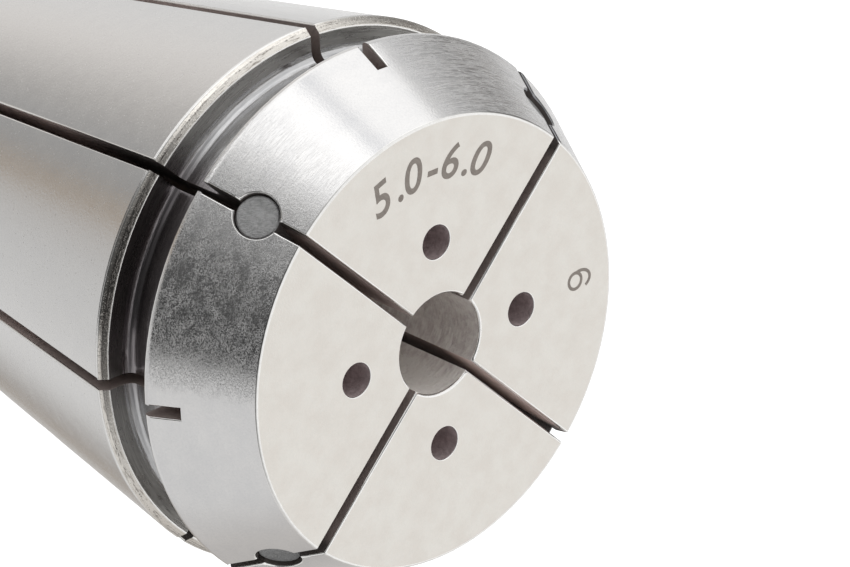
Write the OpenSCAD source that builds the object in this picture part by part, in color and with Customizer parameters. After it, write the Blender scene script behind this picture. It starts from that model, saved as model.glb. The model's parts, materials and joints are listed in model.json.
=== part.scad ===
// Spring collet with sealed nose slots, for a 6 mm shank in a size 32 collet chuck.
//
// Millimetres. The collet stands on its rear end: Z runs up its axis and out of
// the front face, and the origin is the centre of the rear end. Four front slots
// lie on the X and Y axes and open at the face. Four rear slots lie half way
// between them and open at the rear end. Each front slot is closed at the nose
// by a rubber plug, and each rear slot is fed by a coolant hole from the face.

/* [Body] */
// Length from the rear end to the front face
collet_length = 40; // [38:0.5:44]
// Largest diameter, shared by the head and by the wide end of the taper
rim_d = 33; // [32:0.1:34]
// Angle between the axis and the side of the long taper
taper_angle = 8; // [7:0.25:9]
// Chamfer where the wide end of the taper meets the groove
rim_chamfer = 0.45; // [0.3:0.05:0.8]
// Round on both edges of that chamfer
rim_round = 0.12; // [0.04:0.02:0.16]
// Chamfer round the rear end
rear_chamfer = 0.8; // [0.3:0.1:1.5]

/* [Head] */
// Length of the head, from the front face to the groove
head_length = 5.9; // [5.4:0.1:6.6]
// Angle between the axis and the side of the nose cone
nose_angle = 30; // [28:0.5:32]
// Straight band between the nose cone and the groove
nose_land = 0.5; // [0.45:0.05:1]
// Round where the nose cone runs into the straight band
land_round = 0.5; // [0.1:0.1:0.6]
// Round on the edge of the front face
face_round = 0.2; // [0.1:0.05:0.5]
// Round on the edge of the head at the groove
head_round = 0.25; // [0.1:0.05:0.4]

/* [Groove] */
// Width of the groove that the clamping nut hooks into
groove_width = 3.65; // [3:0.05:4.5]
// Diameter at the bottom of the groove
groove_d = 29; // [28:0.1:30.5]
// Fillet in the two corners of the groove
groove_fillet = 0.6; // [0.2:0.1:1]

/* [Bore] */
// Bore that grips the shank
bore_d = 6; // [4:0.5:7]
// Length of the gripping bore, from the front face
grip_length = 27; // [20:1:30]
// Wider relief bore behind the gripping bore
relief_d = 10; // [8:0.5:12]
// Angle between the axis and the step from one bore to the other
relief_angle = 45; // [30:5:60]
// Edge break at the mouth of the gripping bore
bore_break = 0.15; // [0.05:0.05:0.3]
// Chamfer at the mouth of the relief bore
relief_chamfer = 0.5; // [0.2:0.1:1]

/* [Slots] */
// Width of the saw cuts that open at the front face
front_slot_w = 0.6; // [0.4:0.05:0.9]
// Width of the saw cuts that open at the rear end
rear_slot_w = 0.65; // [0.4:0.05:0.9]
// Steel left between the front slots and the rear end
rear_web = 6; // [4:0.5:9]
// Steel left between the rear slots and the front face
front_web = 3.8; // [3:0.1:5]
// Radius of the saw that cuts the slots, which leaves their inner ends round
saw_r = 30; // [25:1:40]
// Gap between the rim of the sunk saw and the far wall of the bore
saw_gap = 1; // [0.5:0.25:1.75]
// Edge break along the outer edges of the saw cuts
slot_break = 0.12; // [0.02:0.02:0.16]

/* [Coolant holes] */
// Diameter of the circle that the coolant holes lie on
coolant_pitch_d = 12.5; // [12:0.1:14]
// Diameter of a coolant hole
coolant_d = 2; // [1.5:0.1:2.4]
// How far each coolant hole runs on into its rear slot
coolant_overrun = 1.5; // [0.5:0.1:3]
// Edge break at the mouth of a coolant hole
coolant_break = 0.06; // [0.02:0.02:0.12]

/* [Seal plugs] */
// Diameter of the hole that seats a plug, drilled square to the nose cone
seat_d = 2.55; // [2:0.05:3]
// Depth below the front face at which a seat's axis leaves the nose cone
seat_offset = 2.55; // [2.2:0.05:3.2]
// Depth of a seat along its own axis
seat_depth = 5; // [4:0.25:6]
// Edge break at the mouth of a seat
seat_break = 0.14; // [0.06:0.02:0.16]
// Gap between a plug and the wall of its seat
plug_gap = 0.04; // [0.02:0.01:0.1]
// How far a plug's outer end lies below the nose cone
plug_recess = 0.35; // [0.1:0.05:0.5]
// Chamfer round a plug's outer end
plug_chamfer = 0.1; // [0.04:0.02:0.2]

/* [Hidden] */
$fn = 128;

slot_count = 4;
slot_pitch = 360 / slot_count;
// Plug 1 sits at -X, and the others follow anticlockwise
first_plug_turn = 180;
// Cutting tools run this far past the surfaces that they open
past = 1;
// Straight stretches that make up a round corner of the turned outline
corner_steps = 6;
// Straight stretches that make up the round end of a saw cut
saw_steps = 12;
drill_point_angle = 59;

steel = [0.76, 0.75, 0.73];
rubber = [0.45, 0.45, 0.44];

rim_r = rim_d / 2;
groove_r = groove_d / 2;
bore_r = bore_d / 2;
relief_r = relief_d / 2;
seat_r = seat_d / 2;

head_base_z = collet_length - head_length;
nose_base_z = head_base_z + nose_land;
groove_base_z = head_base_z - groove_width;
rim_z = groove_base_z - rim_chamfer;
// Radius of the nose cone at the face, before its edge is rounded
face_r = rim_r - (head_length - nose_land) * tan(nose_angle);
relief_top_z = collet_length - grip_length;
relief_step = (relief_r - bore_r) / tan(relief_angle);
seat_mouth_r = face_r + seat_offset * tan(nose_angle);
cut_r = rim_r + past;
// Radius at which the centre of the sunk saw lies, with its rim just past the axis
saw_x = saw_r - (bore_r - saw_gap);
front_slot_end = [taper_r(rear_web), rear_web];
rear_slot_end = [face_r + front_web * tan(nose_angle), collet_length - front_web];

function taper_r(z) = rim_r - (rim_z - z) * tan(taper_angle);
function unit(v) = v / norm(v);
// Height of the saw's rim over its centre, at a radius of the collet
function saw_rise(r) = sqrt(saw_r * saw_r - (saw_x - r) * (saw_x - r));

// Points of a tangent arc that rounds the corner between two straight edges
function rounded(before, corner, after, r) =
    let (
        a = unit(before - corner),
        b = unit(after - corner),
        half = acos(a * b) / 2,
        centre = corner + unit(a + b) * r / sin(half),
        from = corner + a * r / tan(half) - centre,
        to = corner + b * r / tan(half) - centre,
        sweep = sign(cross(from, to)) * (180 - 2 * half),
        start = atan2(from.y, from.x)
    )
    [for (i = [0:corner_steps])
        centre + r * [cos(start + sweep * i / corner_steps), sin(start + sweep * i / corner_steps)]];

// Half outline of the turned blank, from the rear end up to the front face
function blank_outline() =
    let (
        rear_edge = [taper_r(rear_chamfer), rear_chamfer],
        rim_low = [rim_r, rim_z],
        rim_top = [rim_r - rim_chamfer, groove_base_z],
        groove_low = [groove_r, groove_base_z],
        groove_high = [groove_r, head_base_z],
        head_base = [rim_r, head_base_z],
        nose_base = [rim_r, nose_base_z],
        face_edge = [face_r, collet_length],
        face_centre = [0, collet_length]
    )
    concat(
        [[0, 0], [rear_edge.x - rear_chamfer, 0], rear_edge],
        rounded(rear_edge, rim_low, rim_top, rim_round),
        rounded(rim_low, rim_top, groove_low, rim_round),
        rounded(rim_top, groove_low, groove_high, groove_fillet),
        rounded(groove_low, groove_high, head_base, groove_fillet),
        rounded(groove_high, head_base, nose_base, head_round),
        rounded(head_base, nose_base, face_edge, land_round),
        rounded(nose_base, face_edge, face_centre, face_round),
        [face_centre]
    );

// Gripping bore, with its edge break, the step behind it and the relief bore
module bore_cut() {
    translate([0, 0, -past])
        cylinder(h = collet_length + 2 * past, r = bore_r);
    translate([0, 0, collet_length - bore_break])
        cylinder(h = bore_break + past, r1 = bore_r, r2 = bore_r + bore_break + past);
    translate([0, 0, -past])
        cylinder(h = relief_top_z - relief_step + past, r = relief_r);
    translate([0, 0, relief_top_z - relief_step])
        cylinder(h = relief_step, r1 = relief_r, r2 = bore_r);
    translate([0, 0, -past])
        cylinder(h = relief_chamfer + past, r1 = relief_r + relief_chamfer + past, r2 = relief_r);
}

// One saw cut through the side into the bore. The saw is sunk in at centre_z and
// fed along to open_z, so the arc of its rim ends the cut on the side away from there.
module saw_cut(width, centre_z, open_z) {
    way = sign(centre_z - open_z);
    from = acos(saw_x / saw_r);
    to = acos((saw_x - cut_r) / saw_r);
    arc = [for (i = [0:saw_steps])
        let (a = from + (to - from) * i / saw_steps)
            [saw_x - saw_r * cos(a), centre_z + way * saw_r * sin(a)]];
    rotate([90, 0, 0])
        linear_extrude(height = width, center = true)
            polygon(concat([[0, open_z]], arc, [[cut_r, open_z]]));
}

// A bar on edge along one straight stretch of the outline, which breaks both
// edges of the saw cut there; from and to are [radius, height]
module slot_edge_break(width, from, to) {
    side = (width + 2 * slot_break) / sqrt(2);
    run = to - from;
    translate([from.x, 0, from.y])
        rotate([0, -atan2(run.y, run.x), 0])
            rotate([45, 0, 0])
                translate([0, -side / 2, -side / 2])
                    cube([norm(run), side, side]);
}

module front_slot() {
    saw_cut(front_slot_w, front_slot_end.y + saw_rise(front_slot_end.x), collet_length + past);
    slot_edge_break(front_slot_w, [bore_r, collet_length], [face_r, collet_length]);
    slot_edge_break(front_slot_w, [face_r, collet_length], [rim_r, nose_base_z]);
    slot_edge_break(front_slot_w, [rim_r, rim_z], front_slot_end);
}

module rear_slot() {
    saw_cut(rear_slot_w, rear_slot_end.y - saw_rise(rear_slot_end.x), -past);
    slot_edge_break(rear_slot_w, rear_slot_end, [rim_r, nose_base_z]);
    slot_edge_break(rear_slot_w, [rim_r, rim_z], [taper_r(rear_chamfer), rear_chamfer]);
}

// One coolant hole, drilled from the face through the round end of a rear slot
module coolant_drill() {
    pitch_r = coolant_pitch_d / 2;
    slot_end_z = rear_slot_end.y - saw_rise(rear_slot_end.x) + saw_rise(pitch_r);
    depth = collet_length - slot_end_z + coolant_overrun;
    point = coolant_d / 2 / tan(drill_point_angle);
    translate([pitch_r, 0, collet_length - depth]) {
        cylinder(h = depth + past, d = coolant_d);
        translate([0, 0, -point])
            cylinder(h = point, r1 = 0, r2 = coolant_d / 2);
        translate([0, 0, depth - coolant_break])
            cylinder(h = 2 * coolant_break, r1 = coolant_d / 2, r2 = coolant_d / 2 + 2 * coolant_break);
    }
}

// Moves a tool or a plug to its seat, with its Z square to the nose cone and
// its origin where the seat's axis leaves the cone
module at_seat() {
    translate([seat_mouth_r, 0, collet_length - seat_offset])
        rotate([0, 90 - nose_angle, 0])
            children();
}

module seat_drill() {
    at_seat() {
        translate([0, 0, -seat_depth])
            cylinder(h = seat_depth + past, r = seat_r);
        translate([0, 0, -seat_break])
            cylinder(h = 2 * seat_break, r1 = seat_r, r2 = seat_r + 2 * seat_break);
    }
}

module collet_body() {
    color(steel)
        difference() {
            rotate_extrude()
                polygon(blank_outline());
            bore_cut();
            for (i = [0:slot_count - 1]) {
                rotate([0, 0, i * slot_pitch]) {
                    front_slot();
                    seat_drill();
                }
                rotate([0, 0, (i + 0.5) * slot_pitch]) {
                    rear_slot();
                    coolant_drill();
                }
            }
        }
}

// Rubber plug, seated on the floor of its hole, with its outer end square
module seal_plug(number) {
    plug_r = seat_r - plug_gap;
    straight = seat_depth - plug_recess - plug_chamfer;
    color(rubber)
        rotate([0, 0, first_plug_turn + (number - 1) * slot_pitch])
            at_seat()
                translate([0, 0, -seat_depth]) {
                    cylinder(h = straight, r = plug_r);
                    translate([0, 0, straight])
                        cylinder(h = plug_chamfer, r1 = plug_r, r2 = plug_r - plug_chamfer);
                }
}

collet_body();
seal_plug(1);  // seal_plug_1
seal_plug(2);  // seal_plug_2
seal_plug(3);  // seal_plug_3
seal_plug(4);  // seal_plug_4
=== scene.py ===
# The collet stands on its rear end, with +Z out of its front face and the origin at
# the centre of the rear end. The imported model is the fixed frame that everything
# here is placed in, in metres.
import json
import math

import bmesh
import bpy
from mathutils import Matrix, Vector

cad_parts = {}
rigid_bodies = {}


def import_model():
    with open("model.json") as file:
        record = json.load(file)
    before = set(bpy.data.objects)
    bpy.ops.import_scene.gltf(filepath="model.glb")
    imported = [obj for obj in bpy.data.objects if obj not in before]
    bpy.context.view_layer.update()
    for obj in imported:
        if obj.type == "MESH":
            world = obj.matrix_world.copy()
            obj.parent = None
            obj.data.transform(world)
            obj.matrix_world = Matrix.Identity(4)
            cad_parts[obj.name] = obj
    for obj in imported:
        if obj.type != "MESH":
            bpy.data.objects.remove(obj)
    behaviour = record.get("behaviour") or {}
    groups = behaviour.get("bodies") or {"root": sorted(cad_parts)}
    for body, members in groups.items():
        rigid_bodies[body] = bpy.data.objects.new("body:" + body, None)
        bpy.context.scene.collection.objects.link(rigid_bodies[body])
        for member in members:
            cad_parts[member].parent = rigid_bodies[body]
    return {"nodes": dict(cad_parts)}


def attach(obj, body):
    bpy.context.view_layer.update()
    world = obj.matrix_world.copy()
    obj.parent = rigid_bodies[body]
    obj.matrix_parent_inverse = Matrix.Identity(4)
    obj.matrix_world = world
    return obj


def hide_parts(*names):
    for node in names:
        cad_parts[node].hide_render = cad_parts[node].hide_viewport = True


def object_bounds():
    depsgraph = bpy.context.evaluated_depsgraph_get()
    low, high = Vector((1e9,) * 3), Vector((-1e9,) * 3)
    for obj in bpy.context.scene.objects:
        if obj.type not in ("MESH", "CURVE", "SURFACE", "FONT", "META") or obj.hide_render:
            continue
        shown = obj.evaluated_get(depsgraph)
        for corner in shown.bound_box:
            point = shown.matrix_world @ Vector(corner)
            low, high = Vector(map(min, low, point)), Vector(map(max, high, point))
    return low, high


MM = 0.001

# Blender's own cube, lamp and camera go first, so that the bounds are the collet's
for leftover in list(bpy.data.objects):
    bpy.data.objects.remove(leftover)
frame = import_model()
cad_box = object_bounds()
FACE_Z = cad_box[1].z


# Camera. It looks down on the face from above the -X side, rolled so that the
# collet's axis runs from the upper left to the lower right of the picture.
AIM = Vector((-3.58 * MM, 2.19 * MM, FACE_Z))
CAMERA_AZIMUTH = math.radians(190.03)
CAMERA_ELEVATION = math.radians(43.06)
CAMERA_DISTANCE = 188.8 * MM
CAMERA_ROLL = math.radians(113.11)

towards_camera = Vector((
    math.cos(CAMERA_ELEVATION) * math.cos(CAMERA_AZIMUTH),
    math.cos(CAMERA_ELEVATION) * math.sin(CAMERA_AZIMUTH),
    math.sin(CAMERA_ELEVATION),
))
camera = bpy.data.objects.new("camera", bpy.data.cameras.new("camera"))
bpy.context.scene.collection.objects.link(camera)
camera.data.sensor_width = 36
camera.data.lens = 144.5
camera.data.clip_start = 10 * MM
camera.data.clip_end = 100
camera.matrix_world = (
    Matrix.Translation(AIM + towards_camera * CAMERA_DISTANCE)
    @ (-towards_camera).to_track_quat("-Z", "Y").to_matrix().to_4x4()
    @ Matrix.Rotation(CAMERA_ROLL, 4, "Z")
)
bpy.context.scene.camera = camera
bpy.context.scene.view_settings.view_transform = "Standard"


# Studio. The world is a ring of soft white panels round the collet, with a dark gap
# where the camera stands and a bright ceiling. The floor is white paper, which takes
# the collet's shadow and isn't mirrored in the steel.
def feed(tree, made, inputs):
    """Sets a node's inputs. Each is a value, or the output socket that feeds it."""
    for name, value in dict(inputs).items():
        if isinstance(value, bpy.types.NodeSocket):
            tree.links.new(value, made.inputs[name])
        else:
            made.inputs[name].default_value = value


def place(tree, kind, inputs=(), **settings):
    """Adds a node with these inputs and settings."""
    made = tree.nodes.new("ShaderNode" + kind)
    for name, value in settings.items():
        setattr(made, name, value)
    feed(tree, made, inputs)
    return made


def math_of(tree, operation, *values):
    """Output of a Math node that works on these values."""
    return place(tree, "Math", enumerate(values), operation=operation).outputs[0]


def step_of(tree, value, low, high):
    """0 at low and 1 at high, which may be the lesser, with a smooth way between and level past them."""
    limits = {"Value": value, "From Min": low, "From Max": high}
    return place(tree, "MapRange", limits, interpolation_type="SMOOTHSTEP").outputs["Result"]


def mix_of(tree, factor, first, second):
    """Colour output of a Mix node."""
    sockets = {0: factor, 6: first, 7: second}
    return place(tree, "Mix", sockets, data_type="RGBA").outputs[2]


def grey(level):
    return (level, level, level, 1)


def warm(level):
    return (level, level * 0.97, level * 0.945, 1)


def beige(level):
    return (level, level * 0.86, level * 0.72, 1)


def cool(level):
    return (level * 0.97, level * 0.985, level * 1.02, 1)


def panels(tree, azimuth, colours):
    """Colour by azimuth, from (degrees, colour) pairs that go once round."""
    made = place(tree, "ValToRGB", {"Fac": azimuth})
    elements = made.color_ramp.elements
    while len(elements) < len(colours):
        elements.new(0.5)
    for element, (degrees, colour) in zip(elements, colours):
        element.position = degrees / 360
        element.color = colour
    return made.outputs["Color"]


world = bpy.data.worlds.new("studio")
bpy.context.scene.world = world
world.use_nodes = True
studio = world.node_tree
studio.nodes.clear()
heading_x, heading_y, heading_z = place(
    studio, "SeparateXYZ", {0: place(studio, "TexCoord").outputs["Generated"]}
).outputs
turns = math_of(studio, "DIVIDE", math_of(studio, "ARCTAN2", heading_y, heading_x), math.tau)
azimuth = math_of(studio, "FRACT", turns)
elevation = math_of(studio, "DEGREES", math_of(studio, "ARCSINE", heading_z))

# Below the collet, where its long taper looks
below = panels(studio, azimuth, [
    (0, grey(0.80)), (20, grey(0.95)), (40, grey(0.88)), (57, grey(0.71)), (70, grey(0.80)),
    (104, warm(0.82)), (124, warm(0.66)), (144, warm(0.48)), (162, grey(0.40)), (178, grey(0.39)),
    (186, warm(0.38)), (190, beige(0.42)), (198, beige(0.45)), (206, warm(0.55)), (233, grey(0.65)),
    (260, grey(0.70)), (290, grey(0.80)), (298, grey(0.77)), (306, grey(0.67)), (314, warm(0.55)),
    (322, warm(0.43)), (338, beige(0.38)), (346, warm(0.62)), (360, grey(0.75)),
])
# Level with the collet, where its nose cone looks
level = panels(studio, azimuth, [
    (0, grey(0.80)), (46, grey(0.76)), (51, warm(0.40)), (58, warm(0.28)), (66, warm(0.26)),
    (73, grey(0.34)), (79, grey(0.46)), (86, grey(0.64)), (92, grey(0.68)), (95, grey(1.15)),
    (104, grey(1.22)), (118, grey(1.20)), (122, cool(0.84)), (127, grey(1.35)), (148, grey(1.30)),
    (156, grey(0.98)), (163, grey(0.62)), (170, grey(0.32)), (184, grey(0.36)), (192, grey(0.13)),
    (214, grey(0.07)), (232, grey(0.04)), (234, grey(0.72)), (256, grey(0.76)), (286, grey(0.73)),
    (306, warm(0.60)), (320, warm(0.54)), (340, warm(0.62)), (360, grey(0.80)),
])
# Above the collet, where the groove and the front face look
above = panels(studio, azimuth, [
    (0, grey(1.02)), (66, grey(1.00)), (98, grey(0.95)), (130, grey(0.87)), (141, grey(0.67)),
    (151, grey(0.45)), (161, grey(0.34)), (178, grey(0.14)), (190, grey(0.05)), (230, grey(0.05)),
    (245, grey(0.18)), (266, grey(0.33)), (290, grey(0.60)), (330, grey(0.95)), (360, grey(1.02)),
])
overhead = mix_of(studio, step_of(studio, elevation, 49, 64), above, grey(0.95))
upper = mix_of(studio, step_of(studio, elevation, 12, 24), level, overhead)
sides = mix_of(studio, step_of(studio, elevation, -38, -26), below, upper)
# Low at the front, a white strip and then a dark one, which the head's straight band mirrors
strip = panels(studio, azimuth, [(0, grey(1.2)), (169, grey(1.2)), (180, grey(0.14)), (228, grey(0.12))])
strip_width = panels(studio, azimuth, [
    (0, grey(0)), (92, grey(0)), (102, grey(1)), (214, grey(1)), (232, grey(0)),
])
strip_foot = step_of(studio, elevation, -46, -42)
strip_height = math_of(studio, "MULTIPLY", strip_foot, step_of(studio, elevation, -10, -18))
around = mix_of(studio, math_of(studio, "MULTIPLY", strip_width, strip_height), sides, strip)
seen_by_camera = place(studio, "LightPath").outputs["Is Camera Ray"]
shown = mix_of(studio, seen_by_camera, around, grey(1))
background = place(studio, "Background", {"Color": shown, "Strength": 1})
studio.links.new(background.outputs[0], place(studio, "OutputWorld").inputs["Surface"])

FLOOR_SIZE = 4.0
paper = bpy.data.materials.new("white_paper")
paper.use_nodes = True
tree = paper.node_tree
tree.nodes.clear()
# The paper glows for the camera alone, which makes it as white as the world behind it
lit = place(tree, "BsdfDiffuse", {"Color": grey(0.86)})
glow = math_of(tree, "MULTIPLY", place(tree, "LightPath").outputs["Is Camera Ray"], 0.62)
shining = place(tree, "Emission", {"Color": grey(1), "Strength": glow})
both = place(tree, "AddShader", {0: lit.outputs[0], 1: shining.outputs[0]})
tree.links.new(both.outputs[0], place(tree, "OutputMaterial").inputs["Surface"])

shape = bmesh.new()
bmesh.ops.create_grid(shape, x_segments=1, y_segments=1, size=FLOOR_SIZE / 2)
floor_mesh = bpy.data.meshes.new("floor")
shape.to_mesh(floor_mesh)
shape.free()
floor_mesh.materials.append(paper)
floor = bpy.data.objects.new("floor", floor_mesh)
bpy.context.scene.collection.objects.link(floor)
floor.visible_glossy = False


# Body. One piece of hardened steel: turned, drilled and sawn, then ground on its long
# taper, nose cone and faces, so the groove, the bore and the slots keep the darker
# skin of the furnace. Each surface wears the marks of the tool that left it.

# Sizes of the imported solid, which tell its surfaces apart
FACE_R = 13.38 * MM
FACE_ROUND = 0.25 * MM
NOSE_ANGLE = math.radians(30)
HEAD_BASE_Z = 34.1 * MM
GROOVE_BASE_Z = 30.45 * MM
GROOVE_R = 14.5 * MM
GROOVE_FILLET = 0.6 * MM
RIM_Z = 30.0 * MM
RIM_EDGE = 0.06 * MM
RIM_CHAMFER_R = 16.05 * MM
BORE_R = 3.0 * MM
RELIEF_R = 5.0 * MM
RELIEF_TOP_Z = 13.0 * MM
FRONT_SLOT_W = 0.60 * MM
FRONT_SLOT_LOW_Z = 6.0 * MM
REAR_SLOT_W = 0.65 * MM
REAR_SLOT_TOP_Z = 36.2 * MM
EDGE_BREAK = 0.16 * MM
HOLE_PITCH_R = 6.25 * MM
HOLE_R = 1.0 * MM
HOLE_LOW_Z = 27.4 * MM
SEAT_R = 1.275 * MM
SEAT_DEPTH = 5.0 * MM
SEAT_MOUTH_Z = 37.45 * MM
FRONT_SLOTS_ACROSS = (Vector((1, 0, 0)), Vector((0, 1, 0)))
REAR_SLOTS_ACROSS = (Vector((1, 1, 0)).normalized(), Vector((1, -1, 0)).normalized())
QUARTER = math.radians(90)
# How far off a surface a point may be and still count as on it
HAIR = 0.015 * MM
# Corners this near are one corner, and an edge this short is none
SAME_CORNER = 0.0005 * MM
NO_EDGE = 0.0001 * MM
# The share of a normal that lies along an axis tells how the face leans: past FLAT it is
# square to the axis, and under SIDE it is a wall along it. The nose's share is 0.5 and a
# chamfer's 0.71, so the rounds from them up to a flat have what lies between.
FLAT = 0.98
SIDE = 0.3
PAST_NOSE = 0.55
PAST_CHAMFER = 0.72
BEFORE_FLAT = 0.999
# Under the head, its edge rolls down from the straight band to the groove's wall
PAST_BAND = -0.1
NEAR_WALL = -0.75
# A face is round about an axis where its normal points from it at least this truly
TRUE_ENOUGH = 0.99
NO_SIDE = 0.02
# Faces at a corner that tilt by less than this from each other belong to one round
SAME_ROUND = math.radians(25)


class Axis:
    """A line that a surface is turned or drilled about."""

    def __init__(self, through, along):
        self.through = through
        self.along = along

    def height(self, point):
        return (point - self.through).dot(self.along)

    def out(self, point):
        """Vector from the line to the point, square to the line."""
        reach = point - self.through
        return reach - self.along * reach.dot(self.along)

    def tilt(self, point, normal):
        """Angle of a surface's normal above square to the line, or None where it isn't round about it."""
        upward = normal.dot(self.along)
        sideways = normal - self.along * upward
        outward = sideways.dot(self.out(point).normalized())
        if sideways.length < NO_SIDE or abs(outward) < TRUE_ENOUGH * sideways.length:
            return None
        return math.atan2(upward, outward)

    def normal(self, point, tilt):
        return self.out(point).normalized() * math.cos(tilt) + self.along * math.sin(tilt)


collet_axis = Axis(Vector((0, 0, 0)), Vector((0, 0, 1)))
hole_axes = []
seat_axes = []
for quarter in range(4):
    turn = Matrix.Rotation(quarter * QUARTER, 3, "Z")
    eighth = Matrix.Rotation(QUARTER / 2, 3, "Z")
    hole_axes.append(Axis(turn @ eighth @ Vector((HOLE_PITCH_R, 0, 0)), Vector((0, 0, 1))))
    mouth_r = FACE_R + (FACE_Z - SEAT_MOUTH_Z) * math.tan(NOSE_ANGLE)
    square_to_nose = Vector((math.cos(NOSE_ANGLE), 0, math.sin(NOSE_ANGLE)))
    seat_axes.append(Axis(turn @ Vector((mouth_r, 0, SEAT_MOUTH_Z)), turn @ square_to_nose))


def bore_r(height):
    """Radius of the bore at a height: the grip, the step behind it or the relief."""
    return min(max(BORE_R, BORE_R + RELIEF_TOP_Z - height), RELIEF_R)


def slot_part(point, normal):
    """Whether a point is on a saw cut's wall, on its broken edge, or on neither."""
    cuts = []
    if point.z > FRONT_SLOT_LOW_Z - HAIR:
        cuts += [(across, FRONT_SLOT_W) for across in FRONT_SLOTS_ACROSS]
    if point.z < REAR_SLOT_TOP_Z + HAIR:
        cuts += [(across, REAR_SLOT_W) for across in REAR_SLOTS_ACROSS]
    for across, width in cuts:
        away = abs(point.dot(across))
        facing = abs(normal.dot(across))
        if away < width / 2 - HAIR:
            return "sawn_slot"
        if away < width / 2 + EDGE_BREAK and facing > SIDE:
            return "sawn_slot" if facing > FLAT else "broken_edge"
    return None


def finish_at(point, normal):
    """(finish, axis that the surface is round about) at a point of the body."""
    out = collet_axis.out(point).length
    for axis in seat_axes:
        off_line = axis.out(point).length
        if off_line < SEAT_R + EDGE_BREAK and axis.height(point) > -SEAT_DEPTH - HAIR:
            lean = normal.dot(axis.along)
            if SIDE < lean < FLAT and axis.height(point) > -EDGE_BREAK:
                return "broken_edge", axis
            if off_line < SEAT_R + HAIR and lean < SIDE:
                return "drilled_hole", axis
    for axis in hole_axes:
        off_line = axis.out(point).length
        if off_line < HOLE_R + EDGE_BREAK and abs(normal.z) < FLAT and point.z > HOLE_LOW_Z:
            if off_line < HOLE_R + HAIR:
                return "drilled_hole", axis
            if normal.z > SIDE and point.z > FACE_Z - EDGE_BREAK:
                return "broken_edge", axis
    if out < bore_r(point.z) + HAIR and abs(normal.z) < FLAT:
        return "bored_wall", collet_axis
    part = slot_part(point, normal)
    if part:
        return part, None
    # What leans near the bore is the edge of its mouth or of its rear end
    if out < RELIEF_R + 2 * EDGE_BREAK and point.z < FACE_Z - HAIR and abs(normal.z) < FLAT:
        return "broken_edge" if point.z > FACE_Z - 2 * EDGE_BREAK else "bored_wall", collet_axis
    if out > FACE_R - FACE_ROUND and point.z > FACE_Z - FACE_ROUND:
        if PAST_NOSE < normal.z < BEFORE_FLAT:
            return "worn_edge", collet_axis
    if abs(point.z - RIM_Z) < RIM_EDGE:
        return "worn_edge", collet_axis
    if GROOVE_BASE_Z - RIM_EDGE < point.z < GROOVE_BASE_Z + HAIR and out > RIM_CHAMFER_R - RIM_EDGE:
        if PAST_CHAMFER < normal.z < BEFORE_FLAT:
            return "worn_edge", collet_axis
    if abs(normal.z) > FLAT and not GROOVE_BASE_Z - HAIR < point.z < HEAD_BASE_Z + HAIR:
        return "ground_face", collet_axis
    if point.z > HEAD_BASE_Z + RIM_EDGE and normal.z > PAST_BAND:
        return "ground_nose", collet_axis
    if point.z > HEAD_BASE_Z + RIM_EDGE:
        return "worn_edge" if normal.z > NEAR_WALL else "turned_wall", collet_axis
    if point.z > GROOVE_BASE_Z - RIM_EDGE and out < GROOVE_R + GROOVE_FILLET:
        return "turned_groove", collet_axis
    if point.z > GROOVE_BASE_Z - HAIR:
        return "turned_wall", collet_axis
    if point.z > RIM_Z:
        return "turned_rim", collet_axis
    return "ground_taper", collet_axis


def body_mesh(finishes):
    """The body's own surface with merged corners, a finish for each face and the true normals."""
    mesh = frame["nodes"]["collet_body"].data.copy()
    mesh.name = "steel_body"
    mesh.materials.clear()
    shape = bmesh.new()
    shape.from_mesh(mesh)
    bmesh.ops.remove_doubles(shape, verts=shape.verts, dist=SAME_CORNER)
    bmesh.ops.dissolve_degenerate(shape, edges=shape.edges, dist=NO_EDGE)
    shape.to_mesh(mesh)
    shape.free()

    tilts = {}
    round_at = {}
    for face in mesh.polygons:
        finish, axis = finish_at(face.center, face.normal)
        face.material_index = finishes.index(finish)
        face.use_smooth = True
        tilt = axis.tilt(face.center, face.normal) if axis else None
        if tilt is None:
            continue
        round_at[face.index] = (axis, tilt)
        for corner in face.vertices:
            tilts.setdefault(corner, []).append((tilt, face.area ** 2))

    normals = [None] * len(mesh.loops)
    beside_edge = {}
    broken = finishes.index("broken_edge")
    for face in mesh.polygons:
        for loop in face.loop_indices:
            corner = mesh.loops[loop].vertex_index
            normals[loop] = face.normal.copy()
            if face.index in round_at:
                axis, own = round_at[face.index]
                near = [(tilt, share) for tilt, share in tilts[corner] if abs(tilt - own) < SAME_ROUND]
                shares = sum(share for _, share in near) or 1.0
                tilt = sum(tilt * share for tilt, share in near) / shares
                normals[loop] = axis.normal(mesh.vertices[corner].co, tilt)
            if face.material_index != broken:
                beside_edge.setdefault(corner, []).append(normals[loop])

    # A broken edge is really a small round, so it turns from one neighbour's normal to the other's
    for face in mesh.polygons:
        if face.material_index != broken:
            continue
        for loop in face.loop_indices:
            beside = beside_edge.get(mesh.loops[loop].vertex_index)
            if beside:
                normals[loop] = sum(beside, Vector()).normalized()
    mesh.normals_split_custom_set(normals)
    return mesh


def group_of(name, inputs, outputs):
    """A shader node group with these (socket, name, value) inputs and (socket, name) outputs."""
    group = bpy.data.node_groups.new(name, "ShaderNodeTree")
    for kind, label, value in inputs:
        socket = group.interface.new_socket(label, in_out="INPUT", socket_type="NodeSocket" + kind)
        if value is not None:
            socket.default_value = value
    for kind, label in outputs:
        group.interface.new_socket(label, in_out="OUTPUT", socket_type="NodeSocket" + kind)
    return group, group.nodes.new("NodeGroupInput").outputs, group.nodes.new("NodeGroupOutput").inputs


def use(tree, group, **inputs):
    """Outputs of a node group placed in a tree."""
    made = tree.nodes.new("ShaderNodeGroup")
    made.node_tree = group
    feed(tree, made, inputs)
    return made.outputs


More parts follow.
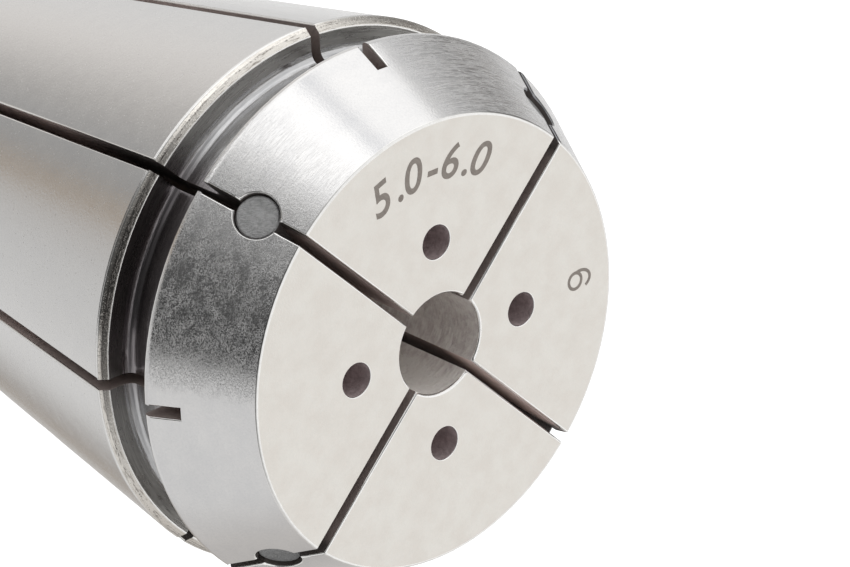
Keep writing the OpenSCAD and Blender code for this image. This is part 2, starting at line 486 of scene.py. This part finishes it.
# Where a point lies, in millimetres: plainly, and unrolled to round, up and out. The bearing
# is in degrees round the collet's axis, from -180 to 180.
whereabouts, given, result = group_of(
    "whereabouts",
    [("Float", "Radius", 15.0)],
    [
        ("Vector", "Unrolled"), ("Vector", "Plain"),
        ("Float", "Bearing"), ("Float", "Height"), ("Float", "Reach"),
    ],
)
in_metres = place(whereabouts, "TexCoord").outputs["Object"]
plain = place(whereabouts, "VectorMath", {0: in_metres, "Scale": 1 / MM}, operation="SCALE").outputs[0]
plain_x, plain_y, height = place(whereabouts, "SeparateXYZ", {0: plain}).outputs
bearing = math_of(whereabouts, "ARCTAN2", plain_y, plain_x)
flat = place(whereabouts, "CombineXYZ", {0: plain_x, 1: plain_y}).outputs[0]
reach = place(whereabouts, "VectorMath", {0: flat}, operation="LENGTH").outputs["Value"]
arc = math_of(whereabouts, "MULTIPLY", bearing, given["Radius"])
unrolled = place(whereabouts, "CombineXYZ", {0: arc, 1: height, 2: reach}).outputs[0]
whereabouts.links.new(unrolled, result["Unrolled"])
whereabouts.links.new(plain, result["Plain"])
whereabouts.links.new(math_of(whereabouts, "DEGREES", bearing), result["Bearing"])
whereabouts.links.new(height, result["Height"])
whereabouts.links.new(reach, result["Reach"])

# Grain: noise with features of a size in millimetres, spread out to run from 0 to 1
grain, given, result = group_of(
    "grain",
    [
        ("Vector", "Vector", None),
        ("Float", "Size", 0.2), ("Float", "Stretch", 1.0), ("Float", "Angle", 0.0),
        ("Float", "Detail", 3.0), ("Float", "Low", 0.35), ("Float", "High", 0.65),
    ],
    [("Float", "Value")],
)
by_angle = {"Vector": given["Vector"], "Angle": given["Angle"]}
turned = place(grain, "VectorRotate", by_angle, rotation_type="Z_AXIS").outputs[0]
along, across, deep = place(grain, "SeparateXYZ", {0: turned}).outputs
shrunk = math_of(grain, "DIVIDE", along, given["Stretch"])
squeezed = place(grain, "CombineXYZ", {0: shrunk, 1: across, 2: deep}).outputs[0]
per_mm = math_of(grain, "DIVIDE", 1.0, given["Size"])
noise = {"Vector": squeezed, "Scale": per_mm, "Detail": given["Detail"], "Roughness": 0.6}
dots = place(grain, "TexNoise", noise).outputs["Fac"]
limits = {"Value": dots, "From Min": given["Low"], "From Max": given["High"]}
grain.links.new(place(grain, "MapRange", limits).outputs["Result"], result["Value"])

# Painted shade on the side between -X and -Y, which darkens the turned steel there
shaded_side, given, result = group_of("shaded_side", [("Float", "Bearing", 0.0)], [("Float", "Shade")])
shaded_x_side = step_of(shaded_side, given["Bearing"], 168, 181)
shaded_y_side = step_of(shaded_side, given["Bearing"], -124, -140)
shaded_side.links.new(math_of(shaded_side, "MAXIMUM", shaded_x_side, shaded_y_side), result["Shade"])

# How far off a cut's middle, in millimetres, the painted shade and light on its walls end and how far in
# they are full
BESIDE_CUT = (2.6, 1.8)

# Painted shade on the walls of the cuts near the nose and the groove: the front slots most, the rest less
coolant, given, result = group_of("coolant", [("Vector", "Plain", None)], [("Float", "Shade")])
plain_x, plain_y, height = place(coolant, "SeparateXYZ", {0: given["Plain"]}).outputs
flat = place(coolant, "CombineXYZ", {0: plain_x, 1: plain_y}).outputs[0]
reach = place(coolant, "VectorMath", {0: flat}, operation="LENGTH").outputs["Value"]
off_cut = math_of(
    coolant, "MINIMUM", math_of(coolant, "ABSOLUTE", plain_x), math_of(coolant, "ABSOLUTE", plain_y)
)
more = math_of(coolant, "MULTIPLY_ADD", step_of(coolant, off_cut, *BESIDE_CUT), 0.62, 0.38)
near_rim = step_of(coolant, reach, 12.2, 13.6)
near_nose = math_of(coolant, "MULTIPLY", near_rim, step_of(coolant, height, 18.0, 27.0))
coolant.links.new(math_of(coolant, "MULTIPLY", near_nose, more), result["Shade"])

# Colour that painted shade darkens towards
SHADE_COLOUR = (0.10, 0.085, 0.08)


class Finish:
    """A material in the making: its nodes, its shader and where a point lies."""

    def __init__(self, name, radius, metallic):
        self.material = bpy.data.materials.new(name)
        self.material.use_nodes = True
        self.tree = self.material.node_tree
        self.tree.nodes.clear()
        self.shader = place(self.tree, "BsdfPrincipled", {"Metallic": metallic})
        output = place(self.tree, "OutputMaterial")
        self.tree.links.new(self.shader.outputs[0], output.inputs["Surface"])
        where = use(self.tree, whereabouts, Radius=radius)
        self.unrolled = where["Unrolled"]
        self.plain = where["Plain"]
        self.bearing = where["Bearing"]
        self.height = where["Height"]
        self.reach = where["Reach"]

    def grain(self, size, vector=None, shift=0.0, **values):
        """Grain on the unrolled surface, or on another vector, moved along by a shift."""
        start = vector or self.unrolled
        if shift:
            moved = (shift, shift * 1.7, shift * 0.6)
            start = place(self.tree, "VectorMath", {0: start, 1: moved}).outputs[0]
        return use(self.tree, grain, Vector=start, Size=size, **values)["Value"]

    def hairlines(self, angles, length=1.6, width=0.07, low=0.62, high=0.70):
        """Fine scratches in a few directions, in degrees from the way round."""
        joined = None
        for i, angle in enumerate(angles):
            look = {"Stretch": length / width, "Angle": math.radians(angle), "Detail": 1.0}
            lines = self.grain(width, shift=11.3 * (i + 1), Low=low, High=high, **look)
            joined = lines if joined is None else self.larger(joined, lines)
        return joined

    def times(self, first, second):
        return math_of(self.tree, "MULTIPLY", first, second)

    def plus(self, first, second):
        return math_of(self.tree, "ADD", first, second)

    def larger(self, first, second):
        return math_of(self.tree, "MAXIMUM", first, second)

    def without(self, share):
        return math_of(self.tree, "SUBTRACT", 1.0, share)

    def step(self, value, low, high):
        return step_of(self.tree, value, low, high)

    def between(self, value, rise, fall):
        """1 between a rise and a fall. Each is given by where it is 0 and where it is 1."""
        return self.times(self.step(value, *rise), self.step(value, *fall))

    def blend(self, first, second, share):
        """The first times a share, plus the second times the rest."""
        return self.plus(self.times(first, share), self.times(second, 1 - share))

    def colour(self, factor, dark, light, shade_share=None, painted_shade=SHADE_COLOUR):
        """Base colour between two, by a factor, and that of painted shade by another."""
        mixed = mix_of(self.tree, factor, (*dark, 1), (*light, 1))
        if shade_share:
            mixed = mix_of(self.tree, shade_share, mixed, (*painted_shade, 1))
        self.tree.links.new(mixed, self.shader.inputs["Base Color"])

    def gloss(self, factor, low, high):
        """Roughness between two, by a factor."""
        made = place(self.tree, "MapRange", {"Value": factor, "To Min": low, "To Max": high})
        self.tree.links.new(made.outputs["Result"], self.shader.inputs["Roughness"])

    # The painted shade of the side between -X and -Y, times a share
    def shaded_side_share(self, share):
        return self.times(use(self.tree, shaded_side, Bearing=self.bearing)["Shade"], share)

    # The painted shade on the walls of the cuts near the nose and the groove
    def shaded_cuts(self):
        return use(self.tree, coolant, Plain=self.plain)["Shade"]

    def relief(self, height, depth):
        """Bump of a height from 0 to 1 times a depth in millimetres."""
        made = place(self.tree, "Bump", {"Height": height, "Distance": depth * MM, "Strength": 1.0})
        self.tree.links.new(made.outputs[0], self.shader.inputs["Normal"])


def ground_face():
    finish = Finish("ground_face", 8.0, metallic=1.0)
    cloud = finish.grain(1.3, vector=finish.plain, Detail=4.0)
    speck = finish.grain(0.15, vector=finish.plain, shift=2.0)
    finish.colour(finish.blend(cloud, speck, 0.5), (0.745, 0.705, 0.655), (0.815, 0.795, 0.75))
    finish.gloss(speck, 0.38, 0.54)
    finish.relief(speck, 0.004)
    return finish.material


def ground_nose():
    finish = Finish("ground_nose", 15.0, metallic=1.0)
    speck = finish.grain(0.13, Detail=3.0)
    cloud = finish.grain(1.5, shift=8.0, Stretch=1.5)
    # The nut has rubbed lines round the +Y side, with a few knocks among them. Knocks have pitted
    # the -X side, and the rest is nearly bright.
    most = finish.between(finish.bearing, (40, 62), (133, 124))
    rest = finish.between(finish.bearing, (156, 164), (179, 172))
    rubbed = finish.plus(most, finish.times(rest, 0.3))
    knocked = finish.larger(finish.step(finish.bearing, 164, 180), finish.step(finish.bearing, -137, -147))
    lines = finish.hairlines((1, -3, 6), length=3.2, width=0.055, low=0.585, high=0.625)
    dashes = finish.hairlines((5, 35, 70, 110, 150), length=0.30, width=0.045, low=0.62, high=0.70)
    crowd = finish.grain(0.6, shift=13.0, Detail=3.0, Low=0.36, High=0.60)
    knocks = finish.plus(dashes, finish.times(speck, 0.22))
    knocks = finish.times(knocks, finish.plus(finish.times(crowd, 0.5), 0.40))
    hairs = finish.hairlines((4, -14, 38), low=0.66, high=0.70)
    pitted = finish.plus(knocked, finish.times(most, 0.35))
    marks = finish.plus(finish.times(lines, rubbed), finish.times(knocks, pitted))
    finish.colour(finish.blend(speck, cloud, 0.5), (0.735, 0.73, 0.73), (0.81, 0.80, 0.79))
    finish.gloss(finish.plus(marks, finish.times(hairs, 0.15)), 0.12, 0.46)
    finish.relief(finish.plus(finish.times(speck, 0.25), marks), 0.007)
    return finish.material


def ground_taper():
    finish = Finish("ground_taper", 15.0, metallic=1.0)
    speck = finish.grain(0.16, Detail=4.0)
    patch = finish.grain(1.1, shift=5.0)
    pits = finish.grain(0.12, shift=9.0, Detail=1.0, Low=0.70, High=0.76)
    # The last of the taper rolls over into the rim's chamfer
    rim = RIM_Z / MM
    rolled = finish.step(finish.height, rim - 0.20, rim)
    rough = finish.plus(finish.times(patch, 0.3), pits)
    grit = finish.times(finish.plus(speck, finish.times(pits, -1.5)), 0.06)
    finish.colour(finish.blend(speck, patch, 0.5), (0.745, 0.735, 0.725), (0.80, 0.79, 0.775))
    finish.gloss(finish.times(rough, finish.without(rolled)), 0.18, 0.36)
    finish.relief(finish.plus(grit, finish.times(rolled, -1.0)), 0.05)
    return finish.material


def turned_rim():
    finish = Finish("turned_rim", 16.2, metallic=1.0)
    streaks = finish.grain(0.09, Stretch=9.0, Low=0.52, High=0.66)
    specks = finish.grain(0.14, shift=4.0, Detail=2.0, Low=0.52, High=0.64)
    # Handling has rounded and polished both edges, the outer one more, with a dark line inside it
    rim = RIM_Z / MM
    inner = finish.step(finish.height, rim + 0.39, rim + 0.44)
    outer = finish.step(finish.height, rim + 0.19, rim + 0.03)
    line = finish.between(finish.height, (rim + 0.17, rim + 0.19), (rim + 0.24, rim + 0.22))
    bare = finish.without(finish.plus(inner, outer))
    # The chamfer takes the painted shade of the side between -X and -Y, and the dark line, but not on its
    # edges
    painted_shade = finish.plus(finish.shaded_side_share(0.55), finish.times(finish.times(line, specks), 0.8))
    painted_shade = finish.times(painted_shade, bare)
    grit = finish.times(finish.plus(streaks, specks), 0.07)
    rounding = finish.plus(finish.times(inner, -0.3), finish.times(outer, -1.0))
    finish.colour(finish.times(streaks, bare), (0.84, 0.805, 0.75), (0.34, 0.31, 0.28), painted_shade)
    finish.gloss(specks, 0.16, 0.34)
    finish.relief(finish.plus(grit, rounding), 0.07)
    return finish.material


def turned_groove():
    finish = Finish("turned_groove", 15.0, metallic=1.0)
    ridges = finish.grain(0.11, Stretch=30.0)
    patch = finish.grain(0.35, shift=6.0, Stretch=3.0)
    tone = finish.blend(ridges, patch, 0.6)
    # The groove is painted darker on the side between -X and -Y, a painted shade
    finish.colour(tone, (0.48, 0.48, 0.49), (0.68, 0.68, 0.68), finish.shaded_side_share(0.75), (0.20, 0.17, 0.18))
    finish.gloss(patch, 0.14, 0.22)
    finish.relief(ridges, 0.004)
    return finish.material


def turned_wall():
    finish = Finish("turned_wall", 15.5, metallic=1.0)
    ridges = finish.grain(0.10, Stretch=30.0)
    patch = finish.grain(0.30, shift=6.0, Stretch=6.0)
    # The wall is a flat, so the rings that the tool left on it follow one another outward
    arc, height, reach = place(finish.tree, "SeparateXYZ", {0: finish.unrolled}).outputs
    on_flat = place(finish.tree, "CombineXYZ", {0: arc, 1: reach, 2: height}).outputs[0]
    rings = finish.grain(0.07, vector=on_flat, shift=3.0, Stretch=30.0)
    tone = finish.blend(rings, patch, 0.6)
    # The wall is painted darker on the side between -X and -Y, a painted shade
    finish.colour(tone, (0.33, 0.32, 0.31), (0.52, 0.51, 0.49), finish.shaded_side_share(0.6), (0.13, 0.11, 0.11))
    finish.gloss(patch, 0.24, 0.34)
    finish.relief(finish.plus(ridges, rings), 0.004)
    return finish.material


def sawn_slot():
    finish = Finish("sawn_slot", 10.0, metallic=0.0)
    speck = finish.grain(0.14, vector=finish.plain)
    cloud = finish.grain(0.8, vector=finish.plain, shift=3.0)
    # The walls of the two cuts along Y are painted darker than the rest, a painted shade, and those at +X
    # are painted paler near the face, a painted light. Near the nose and the groove all the walls take the
    # cuts' painted shade
    plain_x, plain_y, height = place(finish.tree, "SeparateXYZ", {0: finish.plain}).outputs
    along_y = finish.step(math_of(finish.tree, "ABSOLUTE", plain_x), *BESIDE_CUT)
    along_x = finish.step(math_of(finish.tree, "ABSOLUTE", plain_y), *BESIDE_CUT)
    face = FACE_Z / MM
    near_face = finish.times(finish.step(plain_x, 2.0, 3.0), finish.step(height, face - 3.5, face - 1.5))
    painted_light = finish.times(along_x, near_face)
    painted_shade = finish.plus(finish.shaded_cuts(), finish.times(along_y, 0.48))
    tone = finish.plus(finish.times(finish.blend(speck, cloud, 0.4), 0.35), finish.times(painted_light, 0.8))
    finish.colour(tone, (0.45, 0.365, 0.34), (0.90, 0.79, 0.75), painted_shade)
    finish.gloss(speck, 0.5, 0.65)
    finish.relief(speck, 0.01)
    return finish.material


def bored_wall():
    finish = Finish("bored_wall", 3.0, metallic=0.3)
    rings = finish.grain(0.16, Stretch=6.0)
    cloud = finish.grain(0.5, shift=3.0, Detail=4.0, Low=0.40, High=0.60)
    # The wall is painted lighter on the side between +X and -Y, a painted light
    painted_lit_side = finish.times(finish.step(finish.bearing, -8, -28), 0.55)
    tone = finish.plus(finish.blend(rings, cloud, 0.4), painted_lit_side)
    finish.colour(tone, (0.72, 0.65, 0.635), (1.0, 0.965, 0.92))
    finish.gloss(cloud, 0.50, 0.30)
    finish.relief(finish.plus(rings, cloud), 0.02)
    return finish.material


def drilled_hole():
    finish = Finish("drilled_hole", 1.0, metallic=0.2)
    cloud = finish.grain(0.3, vector=finish.plain)
    # Near the nose and the groove, the walls take the painted shade of the cuts
    finish.colour(cloud, (0.49, 0.41, 0.41), (0.66, 0.565, 0.565), finish.shaded_cuts())
    finish.gloss(cloud, 0.4, 0.55)
    finish.relief(cloud, 0.012)
    return finish.material


def broken_edge():
    finish = Finish("broken_edge", 10.0, metallic=1.0)
    cloud = finish.grain(0.25, vector=finish.plain)
    # On the nose, the edges by the +Y cut are painted dark, a painted shade over their highlight
    face_r = FACE_R / MM
    near_cut = finish.between(finish.bearing, (74, 78), (106, 102))
    edge_shade = finish.times(near_cut, finish.step(finish.reach, face_r - 0.02, face_r + 0.12))
    # The near-white colour is partly a painted highlight, which makes the edges shine whiter
    finish.colour(cloud, (0.92, 0.91, 0.89), (0.97, 0.96, 0.94), edge_shade, (0.26, 0.26, 0.27))
    finish.gloss(cloud, 0.16, 0.26)
    return finish.material


def worn_edge():
    finish = Finish("worn_edge", 10.0, metallic=1.0)
    cloud = finish.grain(0.3, vector=finish.plain)
    # A painted shade, a dark line, follows the outside of the face's edge, from the +Y cut on
    face_r = FACE_R / MM
    beyond_cut = finish.between(finish.bearing, (86, 88), (124, 106))
    outside = finish.between(finish.reach, (face_r, face_r + 0.04), (face_r + 0.52, face_r + 0.42))
    line = finish.times(finish.times(beyond_cut, outside), 0.8)
    finish.colour(cloud, (0.84, 0.83, 0.81), (0.92, 0.91, 0.89), line, (0.20, 0.20, 0.21))
    finish.gloss(cloud, 0.12, 0.22)
    return finish.material


FINISHES = [
    ground_face, ground_nose, ground_taper, turned_rim, turned_groove,
    turned_wall, sawn_slot, bored_wall, drilled_hole, broken_edge, worn_edge,
]
steel_body = bpy.data.objects.new("steel_body", body_mesh([make.__name__ for make in FINISHES]))
bpy.context.scene.collection.objects.link(steel_body)
for make in FINISHES:
    steel_body.data.materials.append(make())
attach(steel_body, "root")
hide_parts("collet_body")


# Seal plugs. Four short rods of grey rubber, one pressed into the hole at each front
# slot to keep coolant in. Their cut ends show fine parallel knife marks. Each end has its own
# grey, and the first plug's is painted much lighter, a painted sheen where it faces the light.
KNIFE_ANGLES = (56, 75, 15, 160)
TONES_AND_SHEEN = (0.47, 0.26, 0.24, 0.28)
PLUG_RECESS = 0.35


def cut_rubber(number, seat, knife_angle, tone_and_sheen):
    """Rubber that is grey on its cut end, with painted shade that makes it nearly black down its side."""
    finish = Finish(f"cut_rubber_{number}", 15.0, metallic=0.0)
    knife = finish.grain(0.09, Stretch=8.0, Angle=math.radians(knife_angle), shift=float(number))
    cloud = finish.grain(0.5, vector=finish.plain)
    along = place(finish.tree, "VectorMath", {0: finish.plain, 1: seat.along}, operation="DOT_PRODUCT")
    cut_end = seat.through.dot(seat.along) / MM - PLUG_RECESS
    rubber_side_shade = finish.step(along.outputs["Value"], cut_end - 0.05, cut_end - 0.10)
    dark = (tone_and_sheen * 0.72,) * 3
    light = (tone_and_sheen * 1.30,) * 3
    finish.colour(finish.blend(knife, cloud, 0.6), dark, light, rubber_side_shade)
    finish.gloss(cloud, 0.45, 0.58)
    finish.relief(knife, 0.03)
    return finish.material


# The first plug is on the -X side, and the others follow it counterclockwise
for i, (knife_angle, tone_and_sheen) in enumerate(zip(KNIFE_ANGLES, TONES_AND_SHEEN)):
    plug = frame["nodes"][f"seal_plug_{i + 1}"]
    rubber = cut_rubber(i + 1, seat_axes[(i + 2) % 4], knife_angle, tone_and_sheen)
    for slot in plug.material_slots:
        slot.material = rubber


# Size marks. Plain figures burnt into the front face by a laser: the range of shanks
# that the collet grips, along an arc, and its size on the far side.
MARK_HEIGHT = 0.006 * MM
ARC_STEPS = 24
# Height of the lettering's own figures, before they are scaled
PLAIN_HEIGHT = 0.72


def typed(character, slant, weight):
    """A figure as a curve, in Blender's own lettering."""
    curve = bpy.data.curves.new("figure", "FONT")
    curve.body = character
    curve.shear = slant
    curve.offset = weight
    return curve


def arc_points(centre, radii, offset, start, end):
    """Points along an ellipse that is widened by an offset, from one angle to another in degrees."""
    points = []
    for i in range(ARC_STEPS + 1):
        turn = math.radians(start + (end - start) * i / ARC_STEPS)
        x = centre[0] + (radii[0] + offset) * math.cos(turn)
        y = centre[1] + (radii[1] + offset) * math.sin(turn)
        points.append((x, y))
    return points


def round_six(stroke):
    """A six as a curve: a bowl whose middle line has radius 1, and a long hook of the same stroke."""
    half = stroke / 2
    bowl, bowl_radii = (0, 0), (1, 1)
    hook, hook_radii = (0.08, 0.78), (1.14, 1.57)
    outline = (
        arc_points(hook, hook_radii, half, 32, 200)
        + arc_points(bowl, bowl_radii, half, 171, 500)
        + arc_points(hook, hook_radii, -half, 181, 32)
    )
    hole = arc_points(bowl, bowl_radii, -half, 0, 345)
    foot = -bowl_radii[1] - half
    top = hook[1] + hook_radii[1] + half
    unit = PLAIN_HEIGHT / (top - foot)
    curve = bpy.data.curves.new("figure", "CURVE")
    curve.dimensions = "2D"
    curve.fill_mode = "BOTH"
    for points in (outline, hole):
        spline = curve.splines.new("POLY")
        spline.points.add(len(points) - 1)
        spline.use_cyclic_u = True
        for point, (x, y) in zip(spline.points, points):
            point.co = (x * unit, (y - foot) * unit, 0, 1)
    return curve


def figures_on_arc(curves, middle_azimuth, middle_r, height, gap):
    """A mesh of figures along an arc, read clockwise, tops outward. The azimuth is in degrees."""
    scale = height / PLAIN_HEIGHT
    figures = []
    for curve in curves:
        # Half a unit each way makes the figure one unit thick before it is scaled
        curve.extrude = 0.5
        writing = bpy.data.objects.new("figure", curve)
        bpy.context.scene.collection.objects.link(writing)
        bpy.context.view_layer.update()
        solid = writing.evaluated_get(bpy.context.evaluated_depsgraph_get())
        figure = bpy.data.meshes.new_from_object(solid)
        bpy.data.objects.remove(writing)
        left = min(vertex.co.x for vertex in figure.vertices)
        right = max(vertex.co.x for vertex in figure.vertices)
        figures.append((figure, (left + right) / 2, (right - left) * scale))
    line = bmesh.new()
    reached = -(sum(width for _, _, width in figures) + gap * (len(figures) - 1)) / 2
    for figure, middle, width in figures:
        turned = math.radians(middle_azimuth) - (reached + width / 2) / middle_r
        figure.transform(
            Matrix.Rotation(turned - QUARTER, 4, "Z")
            @ Matrix.Translation((0, middle_r - height / 2, FACE_Z))
            @ Matrix.Diagonal((scale, scale, MARK_HEIGHT, 1))
            @ Matrix.Translation((-middle, 0, 0.5))
        )
        line.from_mesh(figure)
        reached += width + gap
    bmesh.ops.remove_doubles(line, verts=line.verts, dist=SAME_CORNER)
    bmesh.ops.recalc_face_normals(line, faces=line.faces)
    mesh = bpy.data.meshes.new("figures")
    line.to_mesh(mesh)
    line.free()
    return mesh


def laser_mark():
    finish = Finish("laser_mark", 10.0, metallic=0.0)
    scan = finish.grain(0.06, vector=finish.plain, Stretch=10.0)
    cloud = finish.grain(0.4, vector=finish.plain, shift=2.0)
    finish.colour(finish.blend(scan, cloud, 0.5), (0.24, 0.205, 0.18), (0.35, 0.31, 0.275))
    finish.gloss(cloud, 0.55, 0.7)
    finish.relief(scan, 0.003)
    return finish.material


burnt = laser_mark()
range_mesh = figures_on_arc(
    [typed(character, slant=0.25, weight=0.012) for character in "5.0-6.0"],
    middle_azimuth=136.0, middle_r=10.85 * MM, height=2.0 * MM, gap=0.30 * MM,
)
size_mesh = figures_on_arc(
    [round_six(stroke=0.40)],
    middle_azimuth=46.8, middle_r=10.90 * MM, height=1.88 * MM, gap=0.0,
)
for name, mesh in (("range_mark", range_mesh), ("size_mark", size_mesh)):
    figures = bpy.data.objects.new(name, mesh)
    bpy.context.scene.collection.objects.link(figures)
    mesh.materials.append(burnt)
    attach(figures, "root")
